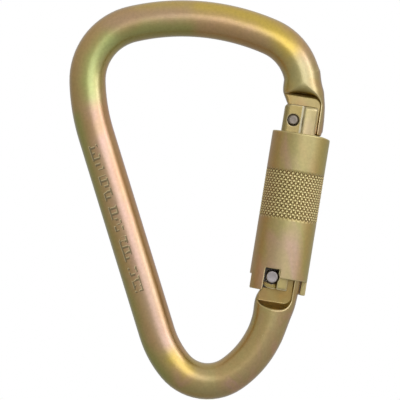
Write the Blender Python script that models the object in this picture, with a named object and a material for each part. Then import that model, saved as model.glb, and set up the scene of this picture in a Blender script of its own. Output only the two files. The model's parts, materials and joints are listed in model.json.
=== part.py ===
"""Locking carabiner: a bent steel bar with a hinged gate and a lift-and-twist locking sleeve.

The row frame's origin is the inside of the wide end, where the carabiner hangs. X runs from the
spine to the gate, Y from front to back, and Z up. The gate group is modelled in its own axes:
u away from the spine, y to the back, w along the gate towards the nose, with w = 0 at the hinge.
"""

from math import cos, pi, radians, sin

import bmesh
import bpy
from mathutils import Matrix, Vector

MM = 0.001
FAR = 30.0

# Bar and its centreline, in mm and degrees. The path leaves the crown both ways.
BAR_RADIUS = 6.0
BAR_SIDES = 28
PATH_STEP = 6.0
ARC_STEP = 5.0
SPINE_PATH = (
    ("arc", 73.0, 13.1),
    ("arc", 19.0, 78.3),
    ("arc", 65.0, 15.7),
    ("line", 68.5),
    ("arc", 32.0, 22.6),
    ("arc", 14.0, 85.0),
    ("arc", 32.0, 30.4),
)
NOSE_PATH = (
    ("arc", 73.0, 23.6),
    ("arc", 18.0, 54.0),
)

# Gate group: the hinge axis, the gate's lean and the distance from the hinge to the gate's axis.
PIVOT_X, PIVOT_Z = 29.66, -79.26
GATE_LEAN = 9.2
AXIS_OFFSET = 2.23

# Blades of the frame, where the gate's forks straddle it.
BLADE_HALF = 2.3
END_HALF_THICKNESS = 6.0
HINGE_BLANK = ((-13.5, -0.25, 6.25), (-9.5, 0.15, 6.7), (-5.0, 0.4, 6.85), (7.3, 0.4, 6.85))
NOSE_BLANK = (
    (65.0, -2.28, 6.45), (63.0, -1.8, 6.85), (61.0, -1.45, 7.0),
    (58.5, -0.5, 6.6), (54.0, 0.0, 6.6), (45.0, 0.1, 6.65),
)
POCKET_LEVELS = (0.0, 1.2, 2.4, 3.2, 3.7)
HINGE_POCKET_U, HINGE_SHOULDER_W, HINGE_RAMP = 5.3, -8.3, (0.0, 0.7, 1.4, 1.9, 2.3)
NOSE_POCKET_U, NOSE_SHOULDER_W, NOSE_RAMP = 4.75, 60.3, (0.0, 0.5, 1.3, 2.4, 4.2)
POCKET_CORNER = 2.6
HINGE_HEEL_EDGE = ((-FAR, -11.5), (-6.9, -9.2), (-6.75, -8.2), (-6.3, -6.9))
HEEL_RADIUS, HEEL_START, HEEL_END = 4.9, 236.0, 178.0
CAM_START, CAM_END, CAM_LOW, CAM_HIGH = 66.0, 116.0, 6.25, 7.15
CAM_RISE, CAM_FOOT = ((5.8, 150.0), (6.65, 128.0)), (4.0, 4.2)
STRIP_TOP_W, STRIP_TOP_U, STRIP_ROUND = 3.5, 7.3, 1.4
NOSE_SHOULDER = ((-8.75, 64.5), (-8.6, 62.5), (-8.1, 60.8), (-7.3, 59.2), (-5.8, 57.1), (-5.0, 55.6))
HOOK_WALL_U, HOOK_LIP_U, HOOK_LIP_HEIGHT = -5.0, -5.2, 0.6
NOSE_TIP_RADIUS, NOSE_TIP_START, NOSE_TIP_END = 48.8, 92.6, 80.4
NOSE_TIP_EDGE = ((6.4, 48.4), (6.65, 49.3))

# Gate
GATE_RADIUS = 7.4
GATE_BOTTOM, GATE_TOP = -4.0, 57.2
GATE_CHAMFER = 0.7
NECK_RADIUS, NECK_BOTTOM, NECK_TOP = 5.0, 11.4, 38.0
FORK_HALF = 2.6
LOWER_FORK_TOP, UPPER_FORK_BOTTOM = 7.5, 44.0
EAR_FLAT_Y, EAR_FLAT_U = 4.6, -0.4
LOWER_FLAT_TOP, UPPER_FLAT_BOTTOM = 8.6, 43.0
OUTER_CUT_UPPER_U, OUTER_CUT_LOWER_U = 4.0, 3.2
OUTER_CUT_UPPER_W, OUTER_CUT_LOWER_W = 45.4, 5.2
BORE_RADIUS, BORE_TOP = 1.9, 26.0

# Pins
CLEARANCE = 0.3
HINGE_RIVET_RADIUS, HINGE_RIVET_HALF = 2.0, 6.6
LATCH_U, LATCH_W = -3.61, 52.0
LATCH_PIN_RADIUS, LATCH_PIN_HALF = 1.75, 5.3
PIN_CHAMFER = 0.6
KEY_RADIUS, KEY_W, KEY_INNER, KEY_OUTER = 1.0, 18.6, 2.9, 7.2

# Sleeve: radii, ends, knurled band, notches (angles from the outer side, towards the front)
SLEEVE_RADIUS, SLEEVE_BORE = 9.65, 7.8
SLEEVE_BOTTOM, SLEEVE_TOP = -4.7, 48.0
SLEEVE_CHAMFER = 0.5
BAND_RADIUS, BAND_BOTTOM, BAND_TOP = 9.85, 19.6, 35.3
SHORT_RIMS = ((0.0, 118.0), (162.0, 298.0))
NOTCHES = ((85.0, 121.0), (265.0, 301.0))
SHORT_RIM_W, NOTCH_W = 0.0, 2.8
RELEASE_SLOT_HALF, RELEASE_SLOT_BOTTOM = 5.0, 40.8
RELIEF_HALF, RELIEF_DEPTH, RELIEF_CHAMFER = 4.6, 0.8, 0.8
GROOVE_RADIUS, GROOVE_CLEARANCE = 8.45, 0.3
CUT_REACH = 1.2

# Guide bush, its retaining rings and the springs
BUSH_INNER, BUSH_OUTER, BUSH_BOTTOM, BUSH_TOP = 5.3, 7.35, 12.9, 20.6
BUSH_GAP = 15.0
RING_INNER, RING_OUTER, RING_HEIGHT, RING_GAP = 5.4, 8.15, 0.85, 20.0
LOWER_RING_W, UPPER_RING_W = 11.75, 20.9
SLEEVE_SPRING = {"radius": 6.35, "wire": 0.6, "bottom": 23.0, "top": 36.9, "turns": 6.0}
RETURN_SPRING = {"radius": 1.33, "wire": 0.35, "bottom": 12.9, "top": 25.3, "turns": 9.0}
PLUNGER_RADIUS, PLUNGER_BOTTOM, PLUNGER_TOP = 1.6, 6.25, 12.2


def clear_scene():
    for old in list(bpy.data.objects):
        bpy.data.objects.remove(old, do_unlink=True)


def steel(name, color, roughness):
    material = bpy.data.materials.new(name)
    material.use_nodes = True
    shader = material.node_tree.nodes["Principled BSDF"]
    shader.inputs["Base Color"].default_value = (*color, 1.0)
    shader.inputs["Metallic"].default_value = 1.0
    shader.inputs["Roughness"].default_value = roughness
    return material


def axes_empty(name, matrix, parent=None):
    empty = bpy.data.objects.new(name, None)
    bpy.context.scene.collection.objects.link(empty)
    empty.parent = parent
    empty.matrix_local = matrix
    return empty


def add_object(name, mesh, material=None, parent=None):
    """Link a mesh given in mm, welded and with its faces pointing out."""
    mesh.transform(Matrix.Scale(MM, 4))
    made = bpy.data.objects.new(name, mesh)
    bpy.context.scene.collection.objects.link(made)
    made.parent = parent
    if material:
        mesh.materials.append(material)
    mesh.shade_smooth()
    mesh.set_sharp_from_angle(angle=radians(35))
    return made


def finish_mesh(name, bm):
    bmesh.ops.recalc_face_normals(bm, faces=bm.faces)
    mesh = bpy.data.meshes.new(name)
    bm.to_mesh(mesh)
    bm.free()
    return mesh


def loft(name, rings, closed=False):
    """Closed solid through equal rings of points; capped at both ends, or joined end to end."""
    bm = bmesh.new()
    loops = [[bm.verts.new(point) for point in ring] for ring in rings]
    pairs = list(zip(loops, loops[1:]))
    if closed:
        pairs.append((loops[-1], loops[0]))
    for low, high in pairs:
        for i in range(len(low)):
            j = (i + 1) % len(low)
            bm.faces.new((low[i], low[j], high[j], high[i]))
    if not closed:
        bm.faces.new(loops[0][::-1])
        bm.faces.new(loops[-1])
    return finish_mesh(name, bm)


def prism_y(name, outline, half):
    """Outline of (u, w) points extruded along y."""
    return loft(name, [[(u, y, w) for u, w in outline] for y in (-half, half)])


def lathe(name, profile, sides, start=0.0, end=360.0):
    """Profile of (radius, w) turned about the gate's axis; angles run from +u towards the front."""
    full = end - start >= 360.0
    count = sides if full else sides + 1
    angles = [radians(start + (end - start) * i / sides) for i in range(count)]
    rings = [[(r * cos(a), -r * sin(a), w) for r, w in profile] for a in angles]
    return loft(name, rings, closed=full)


def round_bar(name, profile, sides):
    """Solid of revolution about its own Z axis from (radius, height) points off the axis."""
    angles = [2 * pi * i / sides for i in range(sides)]
    return loft(name, [[(r * cos(a), r * sin(a), h) for a in angles] for r, h in profile])


def cut(target, cutter):
    """Subtract the cutter with an exact Boolean and keep it as a hidden wire helper."""
    cutter.hide_render = True
    cutter.display_type = "WIRE"
    modifier = target.modifiers.new(f"cut_{cutter.name}", "BOOLEAN")
    modifier.operation = "DIFFERENCE"
    modifier.solver = "EXACT"
    modifier.object = cutter


def cylinder_cutter(name, radius, low, high, parent, place=Matrix.Identity(4), sides=28):
    mesh = round_bar(name, ((radius, low), (radius, high)), sides)
    mesh.transform(place)
    return add_object(name, mesh, parent=parent)


def box_cutter(name, low, high, parent):
    corners = ((low[0], low[1]), (high[0], low[1]), (high[0], high[1]), (low[0], high[1]))
    mesh = loft(name, [[(u, y, w) for u, y in corners] for w in (low[2], high[2])])
    return add_object(name, mesh, parent=parent)


def along_y(u, w):
    """Turns a mesh's Z axis to Y and moves it to (u, 0, w)."""
    return Matrix.Translation((u, 0, w)) @ Matrix.Rotation(-pi / 2, 4, "X")


def along_u(w, side=1):
    """Turns a mesh's Z axis outward, or inward where side is -1, at height w."""
    return Matrix.Translation((0, 0, w)) @ Matrix.Rotation(side * pi / 2, 4, "Y")


# Frame ------------------------------------------------------------------------------------------


def walk(path, heading, side):
    """Centreline stations (x, z, heading) from the crown; side is 1 for left turns, -1 for right."""
    x, z = 0.0, BAR_RADIUS
    stations = [(x, z, heading)]
    for piece in path:
        length = radians(piece[2]) * piece[1] if piece[0] == "arc" else piece[1]
        turn = side * piece[2] if piece[0] == "arc" else 0.0
        steps = max(2, round(max(length / PATH_STEP, abs(turn) / ARC_STEP)))
        for i in range(1, steps + 1):
            if piece[0] == "line":
                stations.append((x + length * i / steps * cos(radians(heading)),
                                 z + length * i / steps * sin(radians(heading)), heading))
                continue
            now = heading + turn * i / steps
            radius = side * piece[1]
            stations.append((x + radius * (sin(radians(now)) - sin(radians(heading))),
                             z - radius * (cos(radians(now)) - cos(radians(heading))), now))
        x, z, heading = stations[-1]
    return stations


def gate_to_row(u, w):
    """Row (x, z) of a point of the gate's plane."""
    lean = radians(GATE_LEAN)
    across = u + AXIS_OFFSET
    return (PIVOT_X + across * cos(lean) + w * sin(lean), PIVOT_Z - across * sin(lean) + w * cos(lean))


def section(x, z, heading, half_width, half_thickness):
    """Ring of an elliptical bar section square to the heading."""
    normal = radians(heading + 90)
    ring = []
    for i in range(BAR_SIDES):
        a = 2 * pi * i / BAR_SIDES
        across = half_width * cos(a)
        ring.append((x + across * cos(normal), half_thickness * sin(a), z + across * sin(normal)))
    return ring


def bar_sections():
    """Rings from the hinge end round the spine and the crown to the nose."""
    up = 90 - GATE_LEAN
    spine = walk(SPINE_PATH, 180.0, 1)
    nose = walk(NOSE_PATH, 0.0, -1)
    rings = []
    for w, u, half in reversed(HINGE_BLANK):
        rings.append(section(*gate_to_row(u, w), up + 180, half, END_HALF_THICKNESS))
    for x, z, heading in reversed(spine):
        rings.append(section(x, z, heading + 180, BAR_RADIUS, BAR_RADIUS))
    for x, z, heading in nose[1:]:
        rings.append(section(x, z, heading, BAR_RADIUS, BAR_RADIUS))
    for w, u, half in NOSE_BLANK:
        rings.append(section(*gate_to_row(u, w), up + 180, half, END_HALF_THICKNESS))
    return rings


def arc_points(u, w, radius, start, end, count):
    angles = [radians(start + (end - start) * i / (count - 1)) for i in range(count)]
    return [(u + radius * cos(a), w + radius * sin(a)) for a in angles]


def pocket_cutter(name, outline, parent, face):
    """Pocket beside a blade: outline(rise) gives the (u, w) points at each height above it."""
    levels = [(BLADE_HALF + up, i) for i, up in enumerate(POCKET_LEVELS)]
    levels.append((FAR / 2, len(POCKET_LEVELS) - 1))
    rings = [[(u, face * y, w) for u, w in outline(i)] for y, i in levels]
    return add_object(name, loft(name, rings), parent=parent)


def hinge_pocket(level):
    bottom = HINGE_SHOULDER_W - HINGE_RAMP[level]
    wall = HINGE_POCKET_U
    corner = arc_points(wall - POCKET_CORNER, bottom + POCKET_CORNER, POCKET_CORNER, 0, -90, 6)
    return [(-FAR, FAR / 2), (wall, FAR / 2), *corner, (-FAR, bottom)]


def nose_pocket(level):
    top = NOSE_SHOULDER_W + NOSE_RAMP[level]
    wall = NOSE_POCKET_U
    corner = arc_points(wall - POCKET_CORNER, top - POCKET_CORNER, POCKET_CORNER, 0, 90, 6)
    return [(-FAR, FAR), (wall, FAR), *corner, (-FAR, top)]


def hinge_outline():
    """Everything outside the hinge blade: the heel's arc, the cam's spiral and the strip's top."""
    pivot = -AXIS_OFFSET
    heel = arc_points(pivot, 0, HEEL_RADIUS, HEEL_START, HEEL_END, 8)
    cam = [(pivot + r * cos(radians(a)), r * sin(radians(a))) for r, a in cam_points()]
    low = STRIP_TOP_W - STRIP_ROUND
    strip = arc_points(STRIP_TOP_U - STRIP_ROUND, low, STRIP_ROUND, 90, 0, 5)
    return [*HINGE_HEEL_EDGE, *heel, *cam, CAM_FOOT, *strip, (FAR, low), (FAR, FAR), (-FAR, FAR)]


def cam_points():
    """(radius, angle) about the hinge: up from the heel, then the spiral that lifts the plunger."""
    steps = 6
    points = list(CAM_RISE)
    for i in range(steps + 1):
        share = i / steps
        points.append((CAM_HIGH + (CAM_LOW - CAM_HIGH) * share, CAM_END + (CAM_START - CAM_END) * share))
    return points


def nose_outline():
    """Everything outside the nose blade: its rounded shoulder, the latch hook and the tip."""
    hook = LATCH_PIN_RADIUS + CLEARANCE
    lip = LATCH_W - hook
    slot = arc_points(LATCH_U, LATCH_W, hook, 90, -90, 9)
    tip = arc_points(-AXIS_OFFSET, 0, NOSE_TIP_RADIUS, NOSE_TIP_START, NOSE_TIP_END, 9)
    level, below = NOSE_TIP_EDGE[-1][1], NOSE_BLANK[-1][0] - CLEARANCE
    return [
        (-FAR, NOSE_SHOULDER[0][1]), *NOSE_SHOULDER, (HOOK_WALL_U, LATCH_W + hook), *slot,
        (HOOK_LIP_U, lip), (HOOK_LIP_U, lip - HOOK_LIP_HEIGHT), *tip, *NOSE_TIP_EDGE,
        (FAR, level), (FAR, below), (-FAR, below),
    ]


def make_frame(material, axis):
    frame = add_object("frame", loft("frame", bar_sections()), material)
    for face, side in ((-1, "front"), (1, "back")):
        cut(frame, pocket_cutter(f"hinge_pocket_{side}", hinge_pocket, axis, face))
        cut(frame, pocket_cutter(f"nose_pocket_{side}", nose_pocket, axis, face))
    for name, outline in (("hinge_outline", hinge_outline()), ("nose_outline", nose_outline())):
        cut(frame, add_object(name, prism_y(name, outline, FAR / 2), parent=axis))
    hole = HINGE_RIVET_RADIUS + CLEARANCE
    cut(frame, cylinder_cutter("hinge_blade_hole", hole, -FAR, FAR, axis, along_y(-AXIS_OFFSET, 0)))
    return frame


# Gate -------------------------------------------------------------------------------------------


def make_gate(material, hinge, axis):
    c = GATE_CHAMFER
    profile = (
        (GATE_RADIUS - c, GATE_BOTTOM), (GATE_RADIUS, GATE_BOTTOM + c),
        (GATE_RADIUS, NECK_BOTTOM), (NECK_RADIUS, NECK_BOTTOM),
        (NECK_RADIUS, NECK_TOP), (GATE_RADIUS, NECK_TOP),
        (GATE_RADIUS, GATE_TOP - c), (GATE_RADIUS - c, GATE_TOP),
    )
    mesh = round_bar("gate", profile, 40)
    mesh.transform(Matrix.Translation((AXIS_OFFSET, 0, 0)))
    gate = add_object("gate", mesh, material, hinge)
    f, flat, top = FORK_HALF, EAR_FLAT_Y, 3 * FAR
    boxes = {
        "lower_fork": ((-FAR, -f, -FAR), (FAR, f, LOWER_FORK_TOP)),
        "upper_fork": ((-FAR, -f, UPPER_FORK_BOTTOM), (FAR, f, top)),
        "lower_outer": ((OUTER_CUT_LOWER_U, -FAR, -FAR), (FAR, FAR, OUTER_CUT_LOWER_W)),
        "upper_outer": ((OUTER_CUT_UPPER_U, -FAR, OUTER_CUT_UPPER_W), (FAR, FAR, top)),
    }
    for side, near, far in (("front", -FAR, -flat), ("back", flat, FAR)):
        boxes[f"lower_flat_{side}"] = ((-FAR, near, -FAR), (EAR_FLAT_U, far, LOWER_FLAT_TOP))
        boxes[f"upper_flat_{side}"] = ((-FAR, near, UPPER_FLAT_BOTTOM), (EAR_FLAT_U, far, top))
    for name, (low, high) in boxes.items():
        cut(gate, box_cutter(f"gate_{name}", low, high, axis))
    holes = (
        ("gate_rivet_hole", HINGE_RIVET_RADIUS + CLEARANCE, along_y(-AXIS_OFFSET, 0)),
        ("gate_latch_hole", LATCH_PIN_RADIUS + CLEARANCE, along_y(LATCH_U, LATCH_W)),
    )
    for name, radius, place in holes:
        cut(gate, cylinder_cutter(name, radius, -FAR, FAR, axis, place))
    cut(gate, cylinder_cutter("gate_bore", BORE_RADIUS, 0.0, BORE_TOP, axis))
    reach = KEY_INNER - CLEARANCE
    for name, side in (("outer", 1), ("inner", -1)):
        place = along_u(KEY_W, side)
        cut(gate, cylinder_cutter(f"gate_key_{name}", KEY_RADIUS + CLEARANCE, reach, FAR, axis, place))
    return gate


def make_pin(name, radius, half, u, w, material, parent, sides=28):
    """Rivet along y with chamfered ends."""
    c = PIN_CHAMFER
    profile = ((radius - c, -half), (radius, c - half), (radius, half - c), (radius - c, half))
    mesh = round_bar(name, profile, sides)
    mesh.transform(along_y(u, w))
    return add_object(name, mesh, material, parent)


def make_key(name, side, material, parent):
    mesh = round_bar(name, ((KEY_RADIUS, KEY_INNER), (KEY_RADIUS, KEY_OUTER)), 20)
    mesh.transform(along_u(KEY_W, side))
    return add_object(name, mesh, material, parent)


# Sleeve and what is inside it -------------------------------------------------------------------


def sector_cutter(name, start, end, low, high, parent):
    """Piece of a thick ring that cuts through the sleeve's wall."""
    inner, outer = SLEEVE_BORE - CUT_REACH, BAND_RADIUS + CUT_REACH
    profile = ((inner, low), (outer, low), (outer, high), (inner, high))
    return add_object(name, lathe(name, profile, 20, start, end), parent=parent)


def relief_cutter(parent):
    """Lowers and chamfers the top of the sleeve's outer wall, which passes under the nose's tip."""
    low, high, c = SLEEVE_TOP - RELIEF_DEPTH, 2 * FAR, RELIEF_CHAMFER
    edge = ((SLEEVE_RADIUS - c, low), (SLEEVE_RADIUS, low - c))
    outline = ((0.0, low), *edge, (FAR, low - c), (FAR, high), (0.0, high))
    return add_object("sleeve_relief", prism_y("sleeve_relief", outline, RELIEF_HALF), parent=parent)


def make_sleeve(material, axis):
    c = SLEEVE_CHAMFER
    wall, bore, groove, step = SLEEVE_RADIUS, SLEEVE_BORE, GROOVE_RADIUS, BAND_RADIUS - SLEEVE_RADIUS
    profile = [
        (bore, SLEEVE_BOTTOM), (wall - c, SLEEVE_BOTTOM), (wall, SLEEVE_BOTTOM + c),
        (wall, BAND_BOTTOM - step), (BAND_RADIUS, BAND_BOTTOM),
        (BAND_RADIUS, BAND_TOP), (wall, BAND_TOP + step),
        (wall, SLEEVE_TOP - c), (wall - c, SLEEVE_TOP), (bore, SLEEVE_TOP),
    ]
    for low in (UPPER_RING_W, LOWER_RING_W):
        top, bottom = low + RING_HEIGHT + GROOVE_CLEARANCE, low - GROOVE_CLEARANCE
        profile += [(bore, top), (groove, top), (groove, bottom), (bore, bottom)]
    sleeve = add_object("sleeve", lathe("sleeve", profile, 56), material, axis)
    below = SLEEVE_BOTTOM - CUT_REACH
    for i, (start, end) in enumerate(SHORT_RIMS):
        cut(sleeve, sector_cutter(f"short_rim_{i}", start, end, below, SHORT_RIM_W, axis))
    for i, (start, end) in enumerate(NOTCHES):
        cut(sleeve, sector_cutter(f"notch_{i}", start, end, below, NOTCH_W, axis))
    half = RELEASE_SLOT_HALF
    slot = box_cutter("release_slot", (-half, 0.0, RELEASE_SLOT_BOTTOM), (half, FAR, 2 * FAR), axis)
    cut(sleeve, slot)
    cut(sleeve, relief_cutter(axis))
    return sleeve


def make_bush_half(name, start, end, material, parent):
    inner, outer, low, high = BUSH_INNER, BUSH_OUTER, BUSH_BOTTOM, BUSH_TOP
    profile = ((inner, low), (outer, low), (outer, high), (inner, high))
    return add_object(name, lathe(name, profile, 18, start, end), material, parent)


def make_ring(name, low, material, parent):
    high = low + RING_HEIGHT
    profile = ((RING_INNER, low), (RING_OUTER, low), (RING_OUTER, high), (RING_INNER, high))
    return add_object(name, lathe(name, profile, 32, RING_GAP, 360 - RING_GAP), material, parent)


def helix_points(spring, per_turn):
    count = int(spring["turns"] * per_turn)
    rise = (spring["top"] - spring["bottom"]) / count
    radius = spring["radius"]
    return [(radius * cos(2 * pi * i / per_turn), -radius * sin(2 * pi * i / per_turn),
             spring["bottom"] + rise * i) for i in range(count + 1)]


def make_wire(name, points, radius, sides, material, parent):
    """Round wire with flat ends along a list of points."""
    points = [Vector(p) for p in points]
    rings = []
    up = Vector((0, 0, 1))
    for i, point in enumerate(points):
        along = (points[min(i + 1, len(points) - 1)] - points[max(i - 1, 0)]).normalized()
        outward = Vector((point.x, point.y, 0)).normalized()
        first = (outward if abs(outward.dot(along)) < 0.8 else up).cross(along).normalized()
        second = along.cross(first)
        ring = [point + radius * (cos(a) * first + sin(a) * second)
                for a in (2 * pi * k / sides for k in range(sides))]
        rings.append(ring)
    return add_object(name, loft(name, rings), material, parent)


def make_springs(material, axis):
    springs = (("sleeve_spring", SLEEVE_SPRING, 14), ("return_spring", RETURN_SPRING, 10))
    for name, spring, per_turn in springs:
        make_wire(name, helix_points(spring, per_turn), spring["wire"], 6, material, axis)


def make_plunger(material, axis):
    r, low = PLUNGER_RADIUS, PLUNGER_BOTTOM
    tip = ((0.5 * r, low), (0.85 * r, low + 0.2 * r), (r, low + 0.6 * r))
    profile = (*tip, (r, PLUNGER_TOP))
    return add_object("plunger", round_bar("plunger", profile, 20), material, axis)


def build():
    clear_scene()
    plated = steel("plated_steel", (0.56, 0.44, 0.26), 0.36)
    plain = steel("plain_steel", (0.55, 0.54, 0.52), 0.32)
    spring = steel("spring_steel", (0.42, 0.42, 0.43), 0.34)
    pivot = Matrix.Translation((PIVOT_X * MM, 0, PIVOT_Z * MM))
    hinge = axes_empty("hinge_axis", pivot @ Matrix.Rotation(radians(GATE_LEAN), 4, "Y"))
    axis = axes_empty("sleeve_axis", Matrix.Translation((AXIS_OFFSET * MM, 0, 0)), hinge)
    make_frame(plated, axis)
    make_gate(plated, hinge, axis)
    make_pin("hinge_rivet", HINGE_RIVET_RADIUS, HINGE_RIVET_HALF, 0, 0, plain, hinge)
    make_pin("latch_pin", LATCH_PIN_RADIUS, LATCH_PIN_HALF, LATCH_U, LATCH_W, plain, axis)
    make_key("guide_pin_outer", 1, plain, axis)
    make_key("guide_pin_inner", -1, plain, axis)
    make_sleeve(plated, axis)
    make_bush_half("bush_half_front", BUSH_GAP, 180 - BUSH_GAP, plain, axis)
    make_bush_half("bush_half_back", 180 + BUSH_GAP, 360 - BUSH_GAP, plain, axis)
    make_ring("retaining_ring_lower", LOWER_RING_W, spring, axis)
    make_ring("retaining_ring_upper", UPPER_RING_W, spring, axis)
    make_springs(spring, axis)
    make_plunger(plain, axis)


build()
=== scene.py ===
"""Locking carabiner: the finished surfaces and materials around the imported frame.

Shapes are modelled in mm in the gate's axes: u away from the spine, measured from the gate's own
axis, y to the back and w along the gate towards the nose, with w = 0 at the hinge. Each smooth solid
is a field, negative inside, and its mesh is the quads where that field crosses zero.
"""

import json
from itertools import product
from math import atan2, cos, pi, radians, sin

import bmesh
import bpy
import numpy as np
from mathutils import Matrix, Vector

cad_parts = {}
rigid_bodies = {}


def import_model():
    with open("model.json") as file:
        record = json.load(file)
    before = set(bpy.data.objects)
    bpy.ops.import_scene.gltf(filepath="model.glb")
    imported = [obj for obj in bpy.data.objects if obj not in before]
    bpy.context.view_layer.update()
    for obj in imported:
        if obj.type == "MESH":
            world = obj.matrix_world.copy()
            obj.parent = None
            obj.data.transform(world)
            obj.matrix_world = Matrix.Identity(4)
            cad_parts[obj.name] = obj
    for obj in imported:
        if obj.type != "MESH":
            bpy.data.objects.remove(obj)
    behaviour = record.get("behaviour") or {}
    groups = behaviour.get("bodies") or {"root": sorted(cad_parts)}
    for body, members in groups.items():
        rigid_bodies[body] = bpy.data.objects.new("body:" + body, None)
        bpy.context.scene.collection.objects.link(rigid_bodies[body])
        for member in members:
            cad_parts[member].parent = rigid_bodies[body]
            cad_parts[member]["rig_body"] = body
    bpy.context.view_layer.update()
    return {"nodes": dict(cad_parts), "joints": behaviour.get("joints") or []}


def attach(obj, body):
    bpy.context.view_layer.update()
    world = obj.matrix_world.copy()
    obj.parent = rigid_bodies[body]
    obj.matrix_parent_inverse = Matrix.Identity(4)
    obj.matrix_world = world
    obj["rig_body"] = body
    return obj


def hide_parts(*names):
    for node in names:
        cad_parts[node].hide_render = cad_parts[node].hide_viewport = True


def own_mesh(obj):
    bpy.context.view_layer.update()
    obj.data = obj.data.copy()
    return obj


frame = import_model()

MM = 0.001

# Gate axes, from the frame's joints
JOINTS = {joint["name"]: joint for joint in frame["joints"]}
PIVOT_X, _, PIVOT_Z = (value / MM for value in JOINTS["gate_swing"]["pos_m"])
AXIS_X, _, AXIS_Z = (value / MM for value in JOINTS["sleeve_turn"]["pos_m"])
AXIS_OFFSET = float(np.hypot(AXIS_X - PIVOT_X, AXIS_Z - PIVOT_Z))
LEAN = atan2(PIVOT_Z - AXIS_Z, AXIS_X - PIVOT_X)

# Bar and its centreline, in mm and degrees. The path leaves the crown both ways.
BAR_RADIUS = 6.0
BAR_SIDES = 96
BAR_STEP = 1.5
SPINE_PATH = (
    ("arc", 73.0, 13.1),
    ("arc", 19.0, 78.3),
    ("arc", 65.0, 15.7),
    ("line", 68.5),
    ("arc", 32.0, 22.6),
    ("arc", 14.0, 85.0),
    ("arc", 32.0, 30.4),
)
NOSE_PATH = (
    ("arc", 73.0, 23.6),
    ("arc", 18.0, 54.0),
)
HINGE_BLANK = ((-13.5, -0.25, 6.25), (-9.5, 0.15, 6.7), (-5.0, 0.4, 6.85), (9.0, 0.4, 6.85))
NOSE_BLANK = (
    (44.0, 0.1, 6.65), (54.0, 0.0, 6.6), (58.5, -0.5, 6.6), (61.0, -1.45, 7.0), (63.0, -1.8, 6.85), (65.0, -2.28, 6.45),
)
HINGE_JOIN_W, NOSE_JOIN_W, JOIN_REACH, END_STEP = -17.0, 67.5, 4.0, 0.2

# Blades of the bar, where the gate's forks straddle it
BLADE_HALF = 2.3
HINGE_POCKET_U, HINGE_SHOULDER_W = 5.3, -8.3
NOSE_POCKET_U, NOSE_SHOULDER_W = 4.75, 60.3
POCKET_CORNER = 2.6
HINGE_RAMP, NOSE_RAMP, BLADE_REACH = 2.3, 4.2, 10.5
STRIP_TOP_W, NOSE_TIP_RADIUS = 3.5, 48.8
CAM_START, CAM_END, CAM_LOW, CAM_HIGH = 66.0, 116.0, 6.25, 7.15
HEEL_RADIUS = 4.9

# Gate
GATE_RADIUS, GATE_BOTTOM, GATE_TOP = 7.4, -4.0, 57.2
# FLAT_SHADE and RAMP_SHADE: how dark the blades' and gate's flats and the nose's ramp are painted as shade.
EAR_ROUND, HEEL_ROUND, FLAT_SHADE, RAMP_SHADE = 1.2, (3.5, 4.05), 0.3, 0.85
NECK_RADIUS, NECK_BOTTOM, NECK_TOP = 5.0, 11.4, 38.0
FORK_HALF, LOWER_FORK_TOP, UPPER_FORK_BOTTOM = 2.6, 7.5, 44.0
EAR_FLAT_Y, EAR_FLAT_U = 4.6, -0.4
LOWER_FLAT_TOP, UPPER_FLAT_BOTTOM = 8.6, 43.0
OUTER_CUT_UPPER_U, OUTER_CUT_LOWER_U = 4.0, 3.2
OUTER_CUT_RADIUS, OUTER_CUT_LOWER_W = 48.6, 5.2
BORE_RADIUS, BORE_TOP = 1.9, 26.0

# Pins
CLEARANCE, PIN_GAP = 0.3, 0.15
HINGE_RIVET_RADIUS, HINGE_RIVET_HALF = 2.0, 6.6
LATCH_U, LATCH_W, LATCH_PIN_RADIUS, LATCH_PIN_HALF = -3.61, 52.0, 1.75, 5.3
KEY_RADIUS, KEY_W, KEY_INNER = 1.0, 18.6, 2.9

# Sleeve
SLEEVE_RADIUS, SLEEVE_BORE = 9.65, 7.8
SLEEVE_BOTTOM, SLEEVE_TOP = -4.7, 48.0
BAND_RADIUS, BAND_BOTTOM, BAND_TOP = 9.85, 19.6, 35.3
SHORT_RIMS = ((0.0, 118.0), (162.0, 298.0))
SHORT_RIM_W, NOTCH_W, NOTCH_LEFT, NOTCH_RIGHT = 0.0, 2.8, -4.97, 0.1
RELEASE_SLOT_HALF, RELEASE_SLOT_BOTTOM = 5.0, 40.8
RELIEF_HALF, RELIEF_DEPTH, RELIEF_ROUND = 7.0, 0.55, 0.5
RING_GROOVES, GROOVE_RADIUS = ((11.45, 12.9), (20.6, 22.05)), 8.45
KNURL_STARTS, KNURL_ROWS, KNURL_CUTS = 41, 10, 7
# Knurl depth and land, and how dark the knurl's grooves are painted as shade.
KNURL_DEPTH, KNURL_LAND, KNURL_PAINTED_SHADE = 0.62, 0.46, 0.9

# Springs: coil radius, wire radius, bottom, top and turns, and the share of its length left when pressed
SLEEVE_SPRING, SLEEVE_SPRING_KEEP = (6.35, 0.6, 23.0, 36.9, 6.0), 0.76
RETURN_SPRING, RETURN_SPRING_KEEP = (1.33, 0.35, 12.9, 25.3, 9.0), 0.915

PLUNGER_RADIUS, PLUNGER_BOTTOM, PLUNGER_TOP, PLUNGER_LIFT = 1.6, 6.25, 12.2, 1.0

# Stamped strokes along the spine: ends of the row (x, z), stroke cell, half height, group and depth of shade
STAMP_ROW = ((-29.9, -34.2), (-13.4, -85.4))
STAMP_CELL, STAMP_HALF, STAMP_WORD, STAMP_SHADE = (1.9, 2.9), 1.45, 10.5, 0.75
# How much noise wears away the strokes, and the shift of their painted highlight rim.
STAMP_WEAR, STAMP_HIGHLIGHT_SHIFT = 0.43, (0.2, 0, -0.2)

FAR = 30.0
EDGE = 0.3

# Picture, in mm, and the brightness of the surround below and above
VIEW_X, VIEW_Z, VIEW_WIDTH = 5.95, -54.03, 132.24
MIDDLE_LEVEL, LEVEL_SLOPE = 0.56, (0.06, -0.08, 0.17)
FAR_LIGHT, LIGHT_COLOR = 700.0, (0.96, 0.97, 1.12)


# Fields -----------------------------------------------------------------------------------------


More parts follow.
